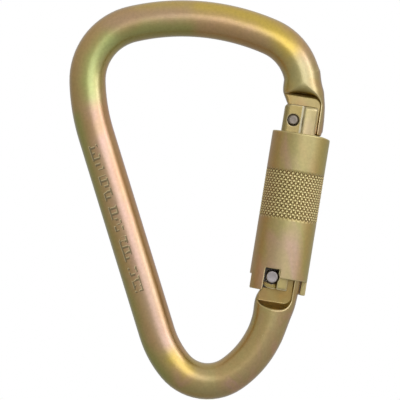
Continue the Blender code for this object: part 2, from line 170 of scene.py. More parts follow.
def both(a, b, round_by=EDGE):
    """Where both solids are, with the edge between them rounded."""
    if round_by <= 0:
        return np.maximum(a, b)
    inner = np.minimum(np.maximum(a, b), -round_by)
    return inner + np.hypot(np.maximum(a + round_by, 0), np.maximum(b + round_by, 0))


def without(a, b, round_by=EDGE):
    return both(a, -b, round_by)


def either(a, b, round_by=EDGE):
    return -both(-a, -b, round_by)


def between(value, low, high):
    return np.maximum(low - value, value - high)


def outline_field(outline, u, w):
    """Signed distance in the gate's plane to a closed outline of (u, w) points."""
    points = np.array(outline, np.float32)
    nearest = np.full(u.shape, np.inf, np.float32)
    inside = np.zeros(u.shape, bool)
    for (u0, w0), (u1, w1) in zip(points, np.roll(points, -1, 0)):
        du, dw = u1 - u0, w1 - w0
        along = np.clip(((u - u0) * du + (w - w0) * dw) / (du * du + dw * dw), 0, 1)
        nearest = np.minimum(nearest, np.hypot(u - u0 - along * du, w - w0 - along * dw))
        if dw:
            crosses = (w0 > w) != (w1 > w)
            inside ^= crosses & (u < u0 + (w - w0) * du / dw)
    return np.where(inside, -nearest, nearest)


def arc_points(u, w, radius, start, end, count):
    angles = [radians(start + (end - start) * i / (count - 1)) for i in range(count)]
    return [(u + radius * cos(a), w + radius * sin(a)) for a in angles]


# Meshes -----------------------------------------------------------------------------------------


def to_row(points):
    """Points of the gate's axes, in mm, as points of the row frame in metres."""
    across, along = points[:, 0] + AXIS_OFFSET, points[:, 2]
    x = PIVOT_X + across * cos(LEAN) + along * sin(LEAN)
    z = PIVOT_Z - across * sin(LEAN) + along * cos(LEAN)
    return np.stack([x, points[:, 1], z], 1) * MM


def straight(u, y, w):
    return u, y, w


def turned(angle, radius, w):
    """Cylindrical coordinates: the angle runs from the outer side towards the front."""
    return radius * np.cos(angle), -radius * np.sin(angle), w


def corner(array, offset, shape):
    return array[tuple(slice(o, o + n) for o, n in zip(offset, shape))]


def surface_net(field, axes, place=straight, wrap=False):
    """Points and quads of a field's zero surface: one point in each crossed cell of the grid."""
    grid = np.stack(place(*np.meshgrid(*axes, indexing="ij")), -1).astype(np.float32)
    values = field(*np.moveaxis(grid, -1, 0)).astype(np.float32)
    inside = values < 0
    cells = tuple(n - 1 for n in values.shape)
    count = sum(corner(inside, o, cells).astype(np.int8) for o in product((0, 1), repeat=3))
    crossed = (count > 0) & (count < 8)
    number = np.full(cells, -1)
    number[crossed] = np.arange(crossed.sum())
    where = np.argwhere(crossed)
    total, hits = np.zeros((len(where), 3)), np.zeros(len(where))
    for axis in range(3):
        for offset in product((0, 1), repeat=3):
            if offset[axis]:
                continue
            low = where + offset
            high = low.copy()
            high[:, axis] += 1
            low, high = tuple(low.T), tuple(high.T)
            hit = inside[low] != inside[high]
            share = values[low] / np.where(hit, values[low] - values[high], 1)
            point = grid[low] + share[:, None] * (grid[high] - grid[low])
            total[hit] += point[hit]
            hits += hit
    quads = []
    for axis in range(3):
        p, q = (axis + 1) % 3, (axis + 2) % 3
        shape = [n - (i == axis) for i, n in enumerate(values.shape)]
        step = [int(i == axis) for i in range(3)]
        low, high = corner(inside, (0, 0, 0), shape), corner(inside, step, shape)
        edge = np.argwhere(low != high)
        inner = np.ones(len(edge), bool)
        for other in (p, q):
            if wrap and other == 0:
                inner &= edge[:, 0] < cells[0]
            else:
                inner &= (edge[:, other] > 0) & (edge[:, other] < cells[other])
        edge = edge[inner]
        ring = []
        for back_p, back_q in ((1, 1), (0, 1), (0, 0), (1, 0)):
            cell = edge.copy()
            cell[:, p] -= back_p
            cell[:, q] -= back_q
            if wrap:
                cell[:, 0] %= cells[0]
            ring.append(number[tuple(cell.T)])
        quad = np.stack(ring, 1)
        turn = ~low[tuple(edge.T)]
        quad[turn] = quad[turn][:, ::-1]
        quads.append(quad)
    points = total / hits[:, None]
    return settle(field, points, most=0.6 * float(np.diff(axes[-1]).max())), np.concatenate(quads)


def slope(field, points, reach=0.02):
    """Gradient of a field, by central differences."""
    steps = reach * np.eye(3)
    return np.stack([field(*(points + s).T) - field(*(points - s).T) for s in steps], 1) / (2 * reach)


def settle(field, points, most, rounds=4):
    """Move points onto the field's zero surface, each by a limited distance."""
    start = points.copy()
    for _ in range(rounds):
        lead = slope(field, points)
        points = points - lead * (field(*points.T) / np.maximum((lead ** 2).sum(1), 0.05))[:, None]
        moved = points - start
        far = np.linalg.norm(moved, axis=1, keepdims=True)
        points = start + moved * np.minimum(1, most / np.maximum(far, 1e-9))
    return points


def ticks(*stretches):
    """Grid positions from (start, end, step) stretches that follow each other."""
    out = []
    for start, end, step in stretches:
        out.append(np.linspace(start, end, max(1, round((end - start) / step)), endpoint=False))
    return np.append(np.concatenate(out), stretches[-1][1])


def make_mesh(name, points, faces):
    mesh = bpy.data.meshes.new(name)
    mesh.from_pydata([tuple(p) for p in points], [], [tuple(f) for f in faces])
    return mesh


def store(mesh, name, values):
    mesh.attributes.new(name, "FLOAT", "POINT").data.foreach_set("value", values.astype(np.float32))


def add_piece(name, mesh, node, material, sharp=None, painted_shade=None, painted_highlight=None):
    """Link a piece that stands for a CAD node, with its material, its edge attributes, its painted shade and its
    painted highlights.
    """
    piece = bpy.data.objects.new(name, mesh)
    bpy.context.scene.collection.objects.link(piece)
    mesh.shade_smooth()
    if sharp:
        mesh.set_sharp_from_angle(angle=radians(sharp))
    mark_edges(mesh)
    # Per-point painted shade (darker where shade falls) and painted highlight (paler where light would glint).
    for label, values in (("painted_shade", painted_shade), ("painted_highlight", painted_highlight)):
        store(mesh, label, np.zeros(len(mesh.vertices)) if values is None else values)
    mesh.materials.append(material)
    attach(piece, frame["nodes"][node]["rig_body"])
    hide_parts(node)
    return piece


def mark_edges(mesh):
    """Store at each point how sharp its edge is, as 'edge', and how far it faces front or back, as 'facing'."""
    count = len(mesh.vertices)
    points = read(mesh.vertices, "co", 3)
    normals = read(mesh.vertices, "normal", 3)
    ends = np.empty(len(mesh.edges) * 2, np.int32)
    mesh.edges.foreach_get("vertices", ends)
    a, b = ends.reshape(-1, 2).T
    along = points[b] - points[a]
    length = np.maximum(np.linalg.norm(along, axis=1), 1e-7)
    bend, links = np.zeros(count), np.zeros(count)
    for here, toward in ((a, along), (b, -along)):
        np.add.at(bend, here, -(toward * normals[here]).sum(1) / length ** 2)
        np.add.at(links, here, 1)
    curvature = 2 * bend / np.maximum(links, 1) * MM
    value = np.clip((curvature - 0.35) / 1.6, 0, 1)
    store(mesh, "edge", value)
    # 'facing' and 'side' drive the painted shade and the painted reflection tints set by which way a surface faces.
    store(mesh, "facing", np.abs(normals[:, 1]))
    store(mesh, "side", 0.5 + 0.5 * normals[:, 0])


def lay_film_and_highlights(mesh):
    """Store at each point of the bar the colour of its zones, the chromate's own tones and painted highlights, as a
    colour attribute with how much they cover as its alpha.
    """
    spots = read(mesh.vertices, "co", 3)[:, [0, 2]] / MM
    tone, cover = np.zeros((len(spots), 3)), np.zeros((len(spots), 1))
    for color, share, reach, line in FILM_AND_HIGHLIGHTS:
        away = np.full(len(spots), np.inf)
        for a, b in zip(np.array(line[:-1], float), np.array(line[1:], float)):
            step = np.clip((spots - a) @ (b - a) / ((b - a) @ (b - a)), 0, 1)[:, None]
            away = np.minimum(away, np.linalg.norm(spots - a - step * (b - a), axis=1))
        here = share * np.exp(-(away[:, None] / reach) ** 2)
        tone = tone * (1 - here) + np.array(color) * here
        cover = 1 - (1 - cover) * (1 - here)
    values = np.hstack([tone / np.maximum(cover, 1e-6), cover]).astype(np.float32)
    mesh.attributes.new("film_and_highlights", "FLOAT_COLOR", "POINT").data.foreach_set("color", values.ravel())


def read(collection, key, width):
    out = np.empty(len(collection) * width, np.float32)
    collection.foreach_get(key, out)
    return out.reshape(-1, width)


# Frame ------------------------------------------------------------------------------------------


def walk(path, heading, side):
    """Centreline stations (x, z, heading) from the crown; side is 1 for left turns, -1 for right."""
    x, z = 0.0, BAR_RADIUS
    stations = [(x, z, heading)]
    for piece in path:
        length = radians(piece[2]) * piece[1] if piece[0] == "arc" else piece[1]
        turn = side * piece[2] if piece[0] == "arc" else 0.0
        steps = max(2, round(length / BAR_STEP))
        for i in range(1, steps + 1):
            if piece[0] == "line":
                stations.append((x + length * i / steps * cos(radians(heading)),
                                 z + length * i / steps * sin(radians(heading)), heading))
                continue
            now = heading + turn * i / steps
            radius = side * piece[1]
            stations.append((x + radius * (sin(radians(now)) - sin(radians(heading))),
                             z - radius * (cos(radians(now)) - cos(radians(heading))), now))
        x, z, heading = stations[-1]
    return stations


def in_gate_axes(x, z):
    dx, dz = x - PIVOT_X, z - PIVOT_Z
    return dx * cos(LEAN) - dz * sin(LEAN) - AXIS_OFFSET, dx * sin(LEAN) + dz * cos(LEAN)


def smooth_through(rows, column, w):
    """Value at w of a smooth curve through rows of (w, centre, half width)."""
    at, value = np.array(rows)[:, 0], np.array(rows)[:, column]
    lead = np.gradient(value, at)
    i = np.clip(np.searchsorted(at, w) - 1, 0, len(at) - 2)
    span = at[i + 1] - at[i]
    t = np.clip((w - at[i]) / span, 0, 1)
    return ((1 + 2 * t) * (1 - t) ** 2 * value[i] + t * (1 - t) ** 2 * span * lead[i]
            + t * t * (3 - 2 * t) * value[i + 1] - t * t * (1 - t) * span * lead[i + 1])


def bar_rows(stations, blank, keep):
    """(w, centre, half width) rows of the bar near one end, in order of w."""
    rows = list(blank)
    for x, z, heading in stations:
        u, w = in_gate_axes(x, z)
        tilt = radians(heading) + LEAN - pi / 2
        if keep(w) and abs(cos(tilt)) > 0.5:
            rows.append((w, u, BAR_RADIUS / abs(cos(tilt))))
    return sorted(rows)


def bar_field(rows, u, y, w):
    centre, half = smooth_through(rows, 1, w), smooth_through(rows, 2, w)
    return (np.hypot((u - centre) / half, y / BAR_RADIUS) - 1) * BAR_RADIUS


def hinge_ramp(share):
    return HINGE_RAMP * share


def nose_ramp(share):
    return NOSE_RAMP * (1 - np.sqrt(1 - share ** 2))


def pocket_field(wall, shoulder, ramp, side, u, y, w):
    """Pockets beside a blade; side is 1 where they run up from the shoulder, -1 where down."""
    rise = np.abs(y) - BLADE_HALF
    edge = shoulder - side * ramp(np.clip(rise / (BAR_RADIUS - BLADE_HALF), 0, 1))
    plan = both(u - wall, side * (edge - w), POCKET_CORNER)
    return both(plan, -rise, 0.15)


def cam_points():
    """Outline of the hinge blade's top: the heel's rise, then the spiral that lifts the plunger."""
    pivot = -AXIS_OFFSET
    points = [(HEEL_RADIUS + 0.9, 150.0), (CAM_HIGH - 0.5, 128.0)]
    steps = 14
    for i in range(steps + 1):
        share = i / steps
        points.append((CAM_HIGH + (CAM_LOW - CAM_HIGH) * share, CAM_END + (CAM_START - CAM_END) * share))
    return [(pivot + r * cos(radians(a)), r * sin(radians(a))) for r, a in points]


def hinge_outline():
    heel = arc_points(-AXIS_OFFSET, 0, HEEL_RADIUS, 236, 178, 18)
    strip = arc_points(5.9, STRIP_TOP_W - 1.4, 1.4, 90, 0, 9)
    edge = [(-FAR, -11.5), (-6.9, -9.2), (-6.75, -8.2), (-6.3, -6.9)]
    return [*edge, *heel, *cam_points(), (4.0, 4.2), *strip, (9.0, STRIP_TOP_W - 1.4), (9.0, FAR), (-FAR, FAR)]


def nose_outline():
    hook = LATCH_PIN_RADIUS + CLEARANCE
    slot = arc_points(LATCH_U, LATCH_W, hook, 90, -90, 25)
    shoulder = [(-FAR, 66.0), (-8.9, 66.0), (-8.85, 64.6), (-8.72, 62.4), (-8.4, 60.8), (-7.7, 59.2),
                (-6.2, 57.2), (-5.0, 55.7)]
    lip = [(-5.2, LATCH_W - hook), (-5.2, LATCH_W - hook - 0.6)]
    tip = arc_points(-AXIS_OFFSET, 0, NOSE_TIP_RADIUS, 92.6, 80.4, 15)
    outer = [(6.4, NOSE_TIP_RADIUS - 0.4), (6.65, NOSE_TIP_RADIUS + 0.5)]
    level, below = outer[-1][1], SLEEVE_BOTTOM
    return [*shoulder, (-5.0, LATCH_W + hook), *slot, *lip, *tip, *outer, (FAR, level), (FAR, below), (-FAR, below)]


def end_mesh(rows, pocket, outline, hole, low, high):
    """Open mesh of one blade end of the bar."""
    wall, shoulder, ramp, side = pocket

    def field(u, y, w):
        body = without(bar_field(rows, u, y, w), pocket_field(wall, shoulder, ramp, side, u, y, w), 0.45)
        body = without(body, outline_field(outline, u, w), 0.45)
        if hole:
            body = without(body, np.hypot(u - hole[0], w - hole[1]) - hole[2], 0.2)
        return body

    axes = (ticks((-10.5, 8.7, END_STEP)), ticks((-6.5, 6.5, END_STEP)), ticks((low, high, END_STEP)))
    return surface_net(field, axes)


def join_at(stations, level):
    """Index of the station nearest to a level along the gate, on the gate's side of the spine."""
    return min(range(len(stations)), key=lambda i: abs(in_gate_axes(*stations[i][:2])[1] - level)
               + FAR * (stations[i][0] < 0))


def cut_square(points, faces, station):
    """Mesh of a bar's end, cut square to the bar at a station."""
    x, z, heading = station
    mesh = make_mesh("end", to_row(points), faces)
    part = bmesh.new()
    part.from_mesh(mesh)
    back = Vector((-cos(radians(heading)), 0, -sin(radians(heading))))
    bmesh.ops.bisect_plane(part, geom=part.verts[:] + part.edges[:] + part.faces[:],
                           plane_co=Vector((x, 0, z)) * MM, plane_no=back, clear_outer=True)
    part.to_mesh(mesh)
    part.free()
    return mesh


def make_frame(material):
    spine, nose = walk(SPINE_PATH, 180.0, 1), walk(NOSE_PATH, 0.0, -1)
    hinge_join, nose_join = join_at(spine, HINGE_JOIN_W), join_at(nose, NOSE_JOIN_W)
    hinge_rows = bar_rows(spine[-14:], HINGE_BLANK, lambda w: w < -15.0)
    nose_rows = bar_rows(nose[-10:], NOSE_BLANK, lambda w: w > 66.0)
    hinge_hole = (-AXIS_OFFSET, 0.0, HINGE_RIVET_RADIUS + CLEARANCE)
    hinge_end = end_mesh(hinge_rows, (HINGE_POCKET_U, HINGE_SHOULDER_W, hinge_ramp, 1), hinge_outline(),
                         hinge_hole, HINGE_JOIN_W - JOIN_REACH, 9.0)
    nose_end = end_mesh(nose_rows, (NOSE_POCKET_U, NOSE_SHOULDER_W, nose_ramp, -1), nose_outline(),
                        None, 44.5, NOSE_JOIN_W + JOIN_REACH)
    bm = bmesh.new()
    for end, station in ((hinge_end, spine[hinge_join]), (nose_end, nose[nose_join])):
        mesh = cut_square(*end, station)
        bm.from_mesh(mesh)
        bpy.data.meshes.remove(mesh)
    bmesh.ops.recalc_face_normals(bm, faces=bm.faces)
    loops = [edge for edge in bm.edges if edge.is_boundary]
    tube = [[bm.verts.new(p) for p in ring] for ring in bar_rings(spine[:hinge_join], nose[:nose_join])]
    for low, high in zip(tube, tube[1:]):
        for i in range(BAR_SIDES):
            j = (i + 1) % BAR_SIDES
            bm.faces.new((low[i], low[j], high[j], high[i]))
    bm.edges.ensure_lookup_table()
    for ring in (tube[0], tube[-1]):
        middle = sum((v.co for v in ring), Vector()) / BAR_SIDES
        near = [e for e in loops if e.is_valid and (e.verts[0].co - middle).length < 9 * MM]
        own = [bm.edges.get((ring[i], ring[i - 1])) for i in range(BAR_SIDES)]
        bmesh.ops.bridge_loops(bm, edges=near + own)
    bmesh.ops.recalc_face_normals(bm, faces=bm.faces)
    mesh = bpy.data.meshes.new("frame_bar")
    bm.to_mesh(mesh)
    bm.free()
    points = read(mesh.vertices, "co", 3) / MM
    u, w = in_gate_axes(points[:, 0], points[:, 2])
    # Painted shade on the bar: the blades' flats darkened, the recess beside the hinge rivet painted nearly black as
    # shadow, and the nose's ramp darkened as shade.
    blade = (np.abs(points[:, 1]) < BLADE_HALF + 0.1) & (u > -BLADE_REACH) & (w > HINGE_JOIN_W) & (w < NOSE_JOIN_W)
    painted_recess_shadow = blade & (u < -AXIS_OFFSET) & (np.abs(w) < -GATE_BOTTOM)
    cut_depth = -bar_field(nose_rows, u, points[:, 1], w) * (w > NOSE_SHOULDER_W - 4.0) * (w < NOSE_JOIN_W)
    shade = RAMP_SHADE * np.clip(cut_depth / 1.2, 0, 1) * ~blade * (u > -BLADE_REACH) * (u < NOSE_POCKET_U)
    lay_film_and_highlights(mesh)
    return add_piece("frame_bar", mesh, "frame", material,
                     painted_shade=np.maximum(np.maximum(painted_recess_shadow, FLAT_SHADE * blade), shade))


def bar_rings(spine, nose):
    """Rings of the round bar from the hinge end's join round to the nose end's join."""
    rings = []
    for x, z, heading in [(x, z, heading + 180) for x, z, heading in reversed(spine)] + nose[1:]:
        normal = radians(heading + 90)
        angles = [2 * pi * i / BAR_SIDES for i in range(BAR_SIDES)]
        rings.append([Vector((x + BAR_RADIUS * cos(a) * cos(normal), BAR_RADIUS * sin(a),
                              z + BAR_RADIUS * cos(a) * sin(normal))) * MM for a in angles])
    return rings


# Gate -------------------------------------------------------------------------------------------


def gate_field(u, y, w):
    radius = np.hypot(u, y)
    body = both(both(radius - GATE_RADIUS, w - GATE_TOP, EAR_ROUND), GATE_BOTTOM - w, 0.75)
    heel = (1 - np.hypot((u + AXIS_OFFSET) / HEEL_ROUND[0], w / HEEL_ROUND[1])) * HEEL_ROUND[0]
    heel = both(heel, both(u + AXIS_OFFSET, w, 0), 0)
    body = without(body, heel, 0.3)
    body = without(body, both(NECK_RADIUS - radius, between(w, NECK_BOTTOM, NECK_TOP), 0.2))
    for slot in (w - LOWER_FORK_TOP, UPPER_FORK_BOTTOM - w):
        body = without(body, both(np.abs(y) - FORK_HALF, slot, 0.3), 0.25)
    lower, upper = both(OUTER_CUT_LOWER_U - u, w - OUTER_CUT_LOWER_W, 0.6), both(
        OUTER_CUT_UPPER_U - u, OUTER_CUT_RADIUS - np.hypot(u + AXIS_OFFSET, w), 0.6)
    body = without(without(body, lower, 0.5), upper, 0.5)
    flat = both(EAR_FLAT_Y - np.abs(y), u - EAR_FLAT_U, 0.8)
    for reach in (w - LOWER_FLAT_TOP, UPPER_FLAT_BOTTOM - w):
        body = without(body, both(flat, reach, 0.2), 0.35)
    for hole_u, hole_w, radius in ((-AXIS_OFFSET, 0.0, HINGE_RIVET_RADIUS + CLEARANCE),
                                   (LATCH_U, LATCH_W, LATCH_PIN_RADIUS + PIN_GAP)):
        body = without(body, np.hypot(u - hole_u, w - hole_w) - radius, 0.15)
    body = without(body, both(np.hypot(u, y) - BORE_RADIUS, w - BORE_TOP, 0.2))
    key = both(np.hypot(y, w - KEY_W) - KEY_RADIUS - CLEARANCE, KEY_INNER - CLEARANCE - np.abs(u), 0.1)
    return without(body, key, 0.15)


def make_gate(material):
    across = ticks((-7.5, 7.5, 0.3))
    axes = (across, across, ticks((-4.4, 12.5, 0.3), (12.5, 36.5, 1.0), (36.5, 57.6, 0.3)))
    points, faces = surface_net(gate_field, axes)
    # Painted highlights: pale lines along the inner edge of the ear flats and along the gate's bottom edge. Painted
    # shade: the recess round the hinge rivet darkened as shadow, and the flats darkened.
    u, y, w = np.abs(points[:, 0] - EAR_FLAT_U + 0.4) < 0.3, np.abs(points[:, 1]), points[:, 2]
    painted_highlight = u & (y > EAR_FLAT_Y - 0.1) & (y < EAR_FLAT_Y + 1.0) & (w > NECK_TOP)
    painted_highlight |= (w < GATE_BOTTOM + 0.3) & (y > FORK_HALF + 0.3)
    painted_recess_shadow = (points[:, 0] < EAR_FLAT_U - 0.2) * (y > FORK_HALF + 0.2) * (w < LOWER_FLAT_TOP) * np.clip(w + 3.0, 0, 1)
    flat = (points[:, 0] < EAR_FLAT_U - 0.8) & (np.abs(points[:, 1]) < EAR_FLAT_Y + 0.1)
    return add_piece("gate_body", make_mesh("gate_body", to_row(points), faces), "gate",
                     material, painted_shade=np.maximum(painted_recess_shadow, FLAT_SHADE * flat), painted_highlight=painted_highlight)


# Sleeve -----------------------------------------------------------------------------------------


def sector(angle, start, end):
    """Signed distance along the sleeve's wall to a stretch of angles in degrees."""
    middle, half = radians((start + end) / 2), radians((end - start) / 2)
    off = np.abs((angle - middle + pi) % (2 * pi) - pi)
    return (off - half) * SLEEVE_RADIUS


def knurl(angle, w):
    """Height of the diamond knurl, from 0 in the grooves to 1 on the lands."""
    turn = angle / (2 * pi) * KNURL_STARTS
    climb = (w - BAND_BOTTOM) / (BAND_TOP - BAND_BOTTOM) * KNURL_ROWS
    height = np.ones_like(angle)
    for phase in (turn + climb, turn - climb):
        height = np.minimum(height, np.abs(phase - np.round(phase)) / KNURL_LAND)
    return height


def sleeve_field(u, y, w):
    angle, radius = np.arctan2(-y, u), np.hypot(u, y)
    in_band = both(BAND_BOTTOM - w, w - BAND_TOP, 0)
    outer = np.where(in_band < 0, BAND_RADIUS - KNURL_DEPTH * (1 - knurl(angle, w)), SLEEVE_RADIUS)
    bore = np.full_like(radius, SLEEVE_BORE)
    for low, high in RING_GROOVES:
        bore = np.where((w > low) & (w < high), GROOVE_RADIUS, bore)
    wall = np.maximum(radius - outer, bore - radius)
    body = both(wall, between(w, SLEEVE_BOTTOM, SLEEVE_TOP), 0.5)
    rims = [both(sector(angle, *span), w - SHORT_RIM_W, 0.3) for span in SHORT_RIMS]
    notches = [both(both(between(-side * u, NOTCH_LEFT, NOTCH_RIGHT), w - NOTCH_W, 0.45), -side * y, 0)
               for side in (1, -1)]
    slot = both(both(np.abs(u) - RELEASE_SLOT_HALF, RELEASE_SLOT_BOTTOM - w, 0.6), -y, 0)
    dip = RELIEF_DEPTH * np.clip(1 - (y / RELIEF_HALF) ** 2, 0, 1) * (u > 0)
    body = both(body, both(radius - SLEEVE_RADIUS, w - SLEEVE_TOP + dip, RELIEF_ROUND), 0.2)
    for cut in (*rims, *notches, slot):
        body = without(body, cut, 0.22)
    return body


def make_sleeve(material):
    row = (BAND_TOP - BAND_BOTTOM) / KNURL_ROWS / KNURL_CUTS
    columns = KNURL_STARTS * KNURL_CUTS
    column = 2 * pi / columns
    angles = (np.arange(columns + 1) - 0.5) * column
    band_low, band_high = BAND_BOTTOM - 0.5 * row, BAND_TOP + 0.5 * row
    heights = ticks((-5.1, 3.5, 0.26), (3.5, 11.1, 1.2), (11.1, 13.2, 0.3), (13.2, band_low, 1.2),
                    (band_low, band_high, row), (band_high, 40.1, 1.2), (40.1, 41.7, 0.26),
                    (41.7, 47.0, 0.8), (47.0, 48.4, 0.22))
    radii = ticks((7.35, 10.25, 0.26))
    points, faces = surface_net(sleeve_field, (angles, radii, heights), place=turned, wrap=True)
    radius, w = np.hypot(points[:, 0], points[:, 1]), points[:, 2]
    in_band = (w > BAND_BOTTOM - row) & (w < BAND_TOP + row) & (radius > SLEEVE_BORE + 0.5)
    # Painted shade in the knurl's grooves, and painted highlights on its crests.
    painted_shade = np.where(in_band, KNURL_PAINTED_SHADE * np.clip((BAND_RADIUS - radius) / KNURL_DEPTH, 0, 1), 0)
    crest = in_band & (radius > BAND_RADIUS - 0.4 * KNURL_DEPTH)
    return add_piece("sleeve_shell", make_mesh("sleeve_shell", to_row(points), faces), "sleeve",
                     material, painted_shade=painted_shade, painted_highlight=0.95 * crest)


# Turned and coiled pieces -----------------------------------------------------------------------

PIN_CORNER = (15, 30, 45, 60, 75, 90)
COIL_STEPS, COIL_SIDES = 48, 12


def lathe_mesh(name, profile, sides, start=0.0, end=360.0):
    """Solid of revolution from a closed loop of (radius, height), or a turned pin from axis to axis."""
    full = end - start >= 360.0
    count = sides if full else sides + 1
    bm = bmesh.new()
    rings = []
    for i in range(count):
        a = radians(start + (end - start) * i / sides)
        rings.append([bm.verts.new((r * cos(a), -r * sin(a), h)) for r, h in profile])
    pairs = list(zip(rings, rings[1:])) + ([(rings[-1], rings[0])] if full else [])
    for one, other in pairs:
        for i in range(len(profile)):
            j = (i + 1) % len(profile)
            bm.faces.new((one[i], one[j], other[j], other[i]))
    if not full:
        bm.faces.new(rings[0][::-1])
        bm.faces.new(rings[-1])
    bmesh.ops.remove_doubles(bm, verts=bm.verts, dist=1e-5)
    bmesh.ops.dissolve_degenerate(bm, edges=bm.edges, dist=1e-5)
    bmesh.ops.recalc_face_normals(bm, faces=bm.faces)
    mesh = bpy.data.meshes.new(name)
    bm.to_mesh(mesh)
    bm.free()
    return mesh


def place_mesh(mesh, turn, u, y, w):
    """Turn a mesh given in mm in the gate's axes, move it there, and carry it to the row frame."""
    mesh.transform(Matrix.Translation((u, y, w)) @ turn)
    points = to_row(read(mesh.vertices, "co", 3))
    mesh.vertices.foreach_set("co", points.astype(np.float32).ravel())
    mesh.update()
    return mesh


def rounded(points, radius, steps=4):
    """Closed outline with each corner replaced by a small arc-like curve."""
    out = []
    count = len(points)
    for i in range(count):
        here, back, ahead = (Vector(points[k % count]) for k in (i, i - 1, i + 1))
        reach = min(radius, (back - here).length * 0.45, (ahead - here).length * 0.45)
        first, last = here + (back - here).normalized() * reach, here + (ahead - here).normalized() * reach
        for k in range(steps + 1):
            t = k / steps
            out.append(tuple((1 - t) ** 2 * first + 2 * t * (1 - t) * here + t * t * last))
    return out


def pin_profile(radius, half, corner, dish, shoulder):
    """Half section of a pin from axis to axis: rounded ends, a shallow dish and a thicker middle."""
    flat = radius - corner
    end = [(0.0, half - dish), (flat * 0.55, half - dish), (flat * 0.8, half), (flat, half)]
    for angle in PIN_CORNER:
        end.append((flat + corner * sin(radians(angle)), half - corner * (1 - cos(radians(angle)))))
    end += [(radius, BLADE_HALF), (shoulder, BLADE_HALF - 0.05)]
    return [(r, -h) for r, h in end] + [(r, h) for r, h in reversed(end)]


def make_pin(name, node, radius, half, u, w, corner, dish, shoulder, material):
    mesh = lathe_mesh(name, pin_profile(radius, half, corner, dish, shoulder), 64)
    place_mesh(mesh, Matrix.Rotation(-pi / 2, 4, "X"), u, 0, w)
    return add_piece(name, mesh, node, material, sharp=35)


def coil_mesh(name, radius, wire, bottom, top, turns):
    """Coil of round wire about the gate's axis, closed at both ends."""
    count = round(turns * COIL_STEPS)
    rise = atan2(top - bottom, 2 * pi * radius * turns)
    bm = bmesh.new()
    rings = []
    for i in range(count + 1):
        a = 2 * pi * i / COIL_STEPS
        middle = Vector((radius * cos(a), -radius * sin(a), bottom + (top - bottom) * i / count))
        out = Vector((cos(a), -sin(a), 0))
        up = Vector((sin(a) * sin(rise), cos(a) * sin(rise), cos(rise)))
        turns_round = [2 * pi * k / COIL_SIDES for k in range(COIL_SIDES)]
        rings.append([bm.verts.new(middle + wire * (cos(b) * out + sin(b) * up)) for b in turns_round])
    for low, high in zip(rings, rings[1:]):
        for i in range(COIL_SIDES):
            j = (i + 1) % COIL_SIDES
            bm.faces.new((low[i], low[j], high[j], high[i]))
    bm.faces.new(rings[0][::-1])
    bm.faces.new(rings[-1])
    bmesh.ops.recalc_face_normals(bm, faces=bm.faces)
    mesh = bpy.data.meshes.new(name)
    bm.to_mesh(mesh)
    bm.free()
    return place_mesh(mesh, Matrix.Identity(4), 0, 0, 0)


def shorten(piece):
    """Give a piece its own copy of its mesh; it is not shortened."""
    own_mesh(piece)


def make_spring(name, node, size, material):
    coil = add_piece(name, coil_mesh(name, *size), node, material, sharp=60)
    shorten(coil)


def make_plunger(material):
    """Plunger whose tip the hinge blade's cam lifts as the gate swings; its upper end stays in the bore."""
    r, low, high = PLUNGER_RADIUS, PLUNGER_BOTTOM, PLUNGER_TOP
    tip = [(r * sin(a), low + 0.6 * r * (1 - cos(a))) for a in np.linspace(0, pi / 2, 9)]
    mesh = lathe_mesh("plunger_turned", [*tip, (r, high), (0.0, high)], 48)
    place_mesh(mesh, Matrix.Identity(4), 0, 0, 0)
    plunger = add_piece("plunger_turned", mesh, "plunger", material, sharp=35)
    shorten(plunger)


# Materials --------------------------------------------------------------------------------------

SPECKLE = ((0.3, (0.9, 0.9, 0.88)), (0.7, (1.06, 1.06, 1.06)))
# Painted shade: surfaces turned edge-on to the front are darkened to olive, as where the metal reflects the dark
# surround.
PAINTED_EDGE_ON_SHADE = ((0.0, (0.92, 0.82, 0.32)), (0.45, (0.99, 0.93, 0.62)), (0.8, (1.0, 1.0, 1.0)))
SLEEVE_PAINTED_EDGE_ON_SHADE = ((0.0, (0.90, 0.84, 0.52)), (0.45, (0.97, 0.94, 0.78)), (0.8, (1.0, 1.0, 1.0)))
# Painted reflection tint by which way the bar faces, left to right: olive on the left side, bluer where the highlight
# falls, rust-brown on the right edge.
BAR_PAINTED_REFLECTION_TINT = (
    (0.0, (0.92, 0.97, 0.72)), (0.4, (1.0, 1.0, 0.9)), (0.6, (1.0, 0.99, 1.08)), (0.9, (1.0, 0.95, 0.98)),
    (0.98, (1.0, 0.74, 0.50)),
)
YELLOW_HIGHLIGHT, MAUVE, BROWN = (0.66, 0.47, 0.06), (0.52, 0.33, 0.20), (0.52, 0.31, 0.13)
OLIVE, LEAF_HIGHLIGHT, PINK_HIGHLIGHT, PALE_HIGHLIGHT = (0.36, 0.36, 0.09), (0.45, 0.50, 0.15), (0.60, 0.39, 0.27), (0.48, 0.42, 0.18)
